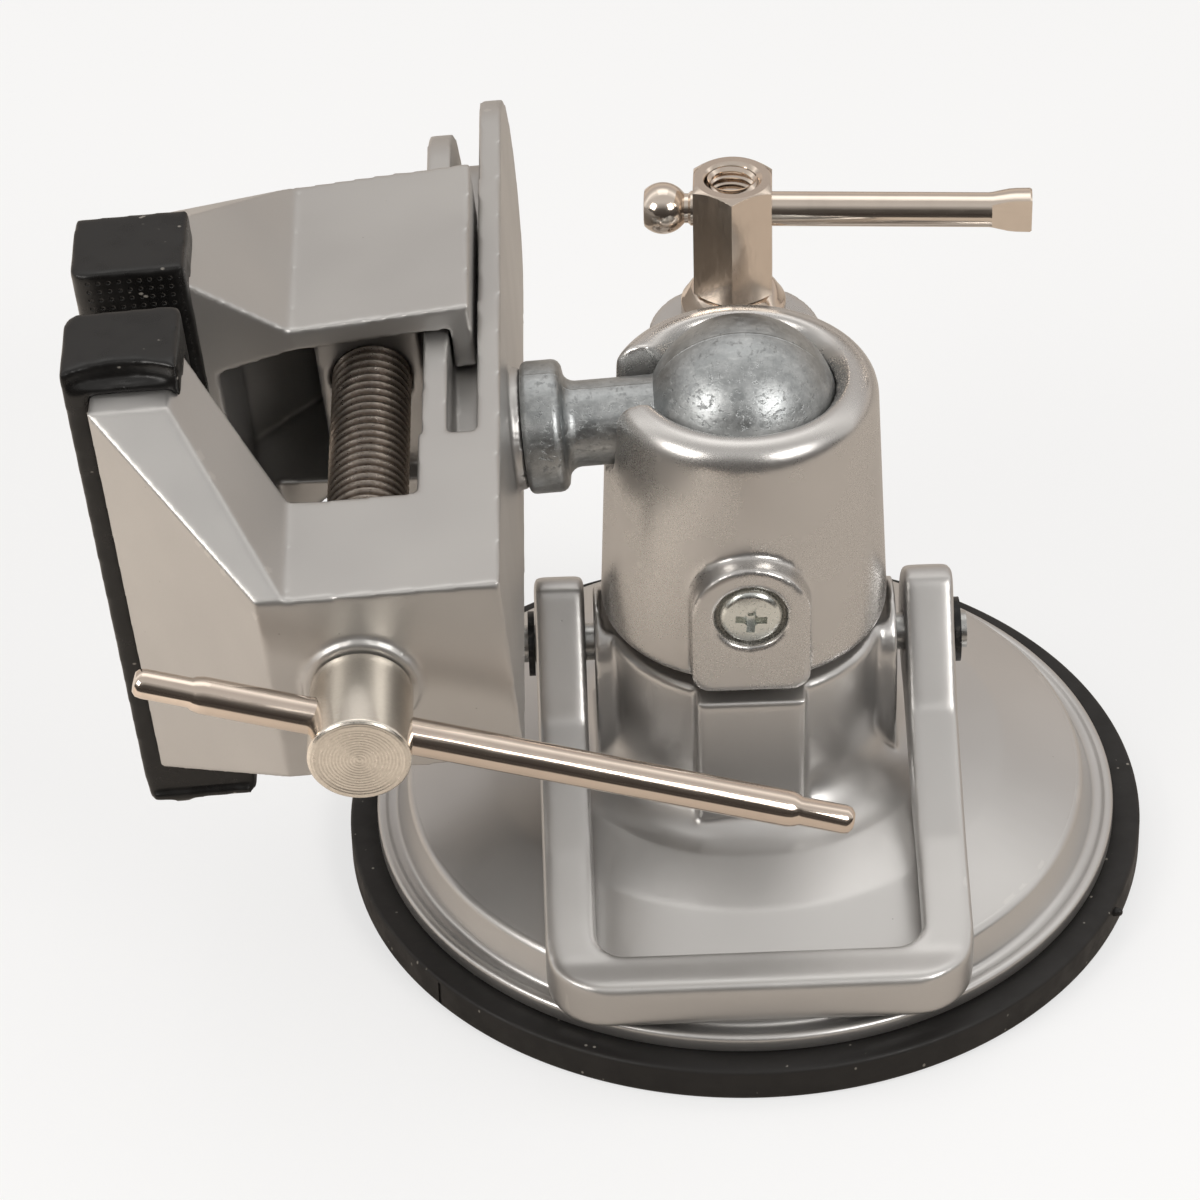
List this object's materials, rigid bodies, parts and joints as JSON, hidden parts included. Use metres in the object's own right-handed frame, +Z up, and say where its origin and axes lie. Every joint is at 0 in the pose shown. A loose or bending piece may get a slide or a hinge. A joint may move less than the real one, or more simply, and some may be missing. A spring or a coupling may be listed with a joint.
{
  "type": "suction base vise",
  "caption": "Small bench vise on a suction base: a lever lifts the rubber pad, a clamped ball joint carries the slide, and a spindle drives the rubber-covered jaws.",
  "frame": {"origin": "centre of the suction pad's underside, on the surface it stands on", "axes": "+Z up, -Y towards the locking lever and the spindle's barrel, -X towards the jaws in the rest pose"},
  "size_m": [0.1663, 0.149, 0.121],
  "materials": {
    "pad_rubber": "matte",
    "jaw_rubber": "satin",
    "base_metal": "satin",
    "lever_metal": "satin",
    "head_metal": "satin",
    "ball_metal": "satin",
    "nickel_steel": "gloss",
    "dark_steel": "satin",
    "zinc_steel": "satin",
    "plain_steel": "satin",
    "clip_steel": "satin"
  },
  "bodies": {
    "base": {"suction_pad": "pad_rubber", "base_casting": "base_metal", "ball_housing": "base_metal", "lug_screw": "zinc_steel", "clamp_stud": "plain_steel", "clamp_washer": "nickel_steel"},
    "lever": {"lock_lever": "lever_metal", "lever_pin": "plain_steel", "lift_cam": "plain_steel", "pin_clips": "clip_steel"},
    "lifter": {"plunger": "plain_steel", "pad_core": "pad_rubber"},
    "nut": {"clamp_nut": "nickel_steel"},
    "nut_bar": {"clamp_bar": "nickel_steel"},
    "ball": {"ball_stem": "ball_metal"},
    "head": {"slide_frame": "head_metal", "fixed_jaw_cover": "jaw_rubber"},
    "jaw": {"moving_jaw": "head_metal", "moving_jaw_cover": "jaw_rubber"},
    "screw": {"spindle": "dark_steel"},
    "screw_bar": {"spindle_bar": "nickel_steel"}
  },
  "joints": [
    {"name": "lever_lift", "type": "hinge", "parent": "base", "child": "lever", "pos_m": [0, 0, 0.0407], "axis": [-1, 0, 0], "range_deg": [0, 78]},
    {"name": "pad_lift", "type": "slide", "parent": "base", "child": "lifter", "axis": [0, 0, 1], "range_m": [-0.00262, 0]},
    {"name": "nut_turn", "type": "hinge", "parent": "base", "child": "nut", "pos_m": [0, 0.03023, 0.1], "axis": [0, 0, 1], "range_deg": [0, 100]},
    {"name": "nut_bar_slide", "type": "slide", "parent": "nut", "child": "nut_bar", "axis": [0.9979, -0.0645, 0], "range_m": [-0.016, 0]},
    {"name": "head_tilt", "type": "hinge", "parent": "base", "child": "ball", "pos_m": [0, 0, 0.0857], "axis": [0.0175, 0.9998, 0], "range_deg": [0, 100]},
    {"name": "head_turn", "type": "hinge", "parent": "ball", "child": "head", "pos_m": [-0.03559, 0.00062, 0.08296], "axis": [0.9969, -0.0174, 0.0767], "range_deg": [-50, 35]},
    {"name": "spindle_turn", "type": "hinge", "parent": "head", "child": "screw", "pos_m": [-0.05867, -0.0578, 0.08029], "axis": [-0.014, -0.9989, -0.0452], "range_deg": [-1728, 3960]},
    {"name": "jaw_slide", "type": "slide", "parent": "head", "child": "jaw", "axis": [0.014, 0.9989, 0.0452], "range_m": [-0.00841, 0.01926]},
    {"name": "spindle_bar_slide", "type": "slide", "parent": "screw", "child": "screw_bar", "axis": [0.9574, -0.0003, -0.2887], "range_m": [-0.036, 0.012]}
  ],
  "couplings": [
    {"joint": "pad_lift", "follows": "lever_lift", "m_per_rad": -0.0019138},
    {"joint": "jaw_slide", "follows": "spindle_turn", "m_per_rad": 0.00027852}
  ]
}
